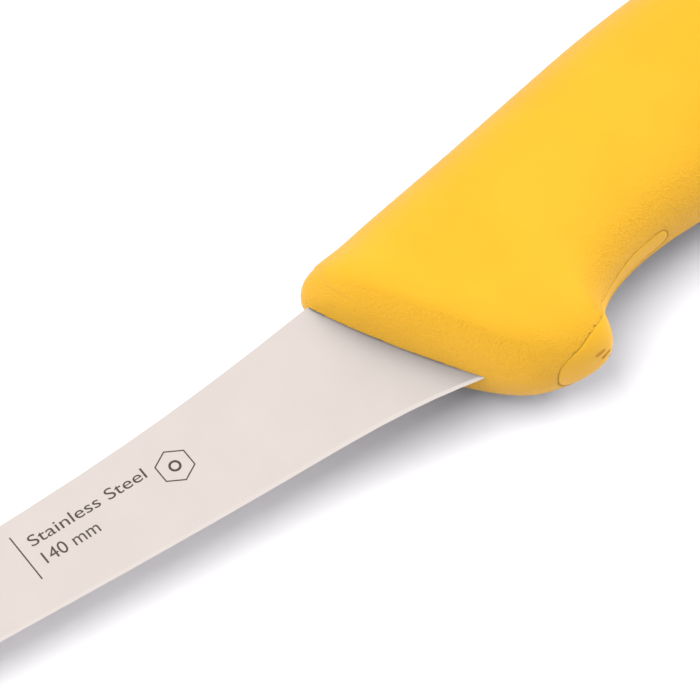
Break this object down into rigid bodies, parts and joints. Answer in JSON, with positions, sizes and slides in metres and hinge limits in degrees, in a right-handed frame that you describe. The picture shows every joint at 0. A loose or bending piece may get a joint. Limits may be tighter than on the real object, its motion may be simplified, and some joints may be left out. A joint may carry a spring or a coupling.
{
  "type": "boning knife",
  "caption": "Boning knife: slim ground blade with a slight upward sweep, in a moulded plastic handle with a finger guard and a swelling palm grip.",
  "frame": {"origin": "middle of the blade's root, on the blade's middle plane where it leaves the handle", "axes": "the knife lies on its side: -X along the blade towards the tip, +Y towards the spine, +Z square to the blade"},
  "size_m": [0.2712, 0.0466, 0.0212],
  "materials": {
    "blade_steel": "satin ground",
    "core_plastic": "smooth",
    "grip_plastic": "fine grain"
  },
  "bodies": {
    "root": {"blade": "blade_steel", "handle_core": "core_plastic", "handle_grip": "grip_plastic"}
  },
  "joints": []
}
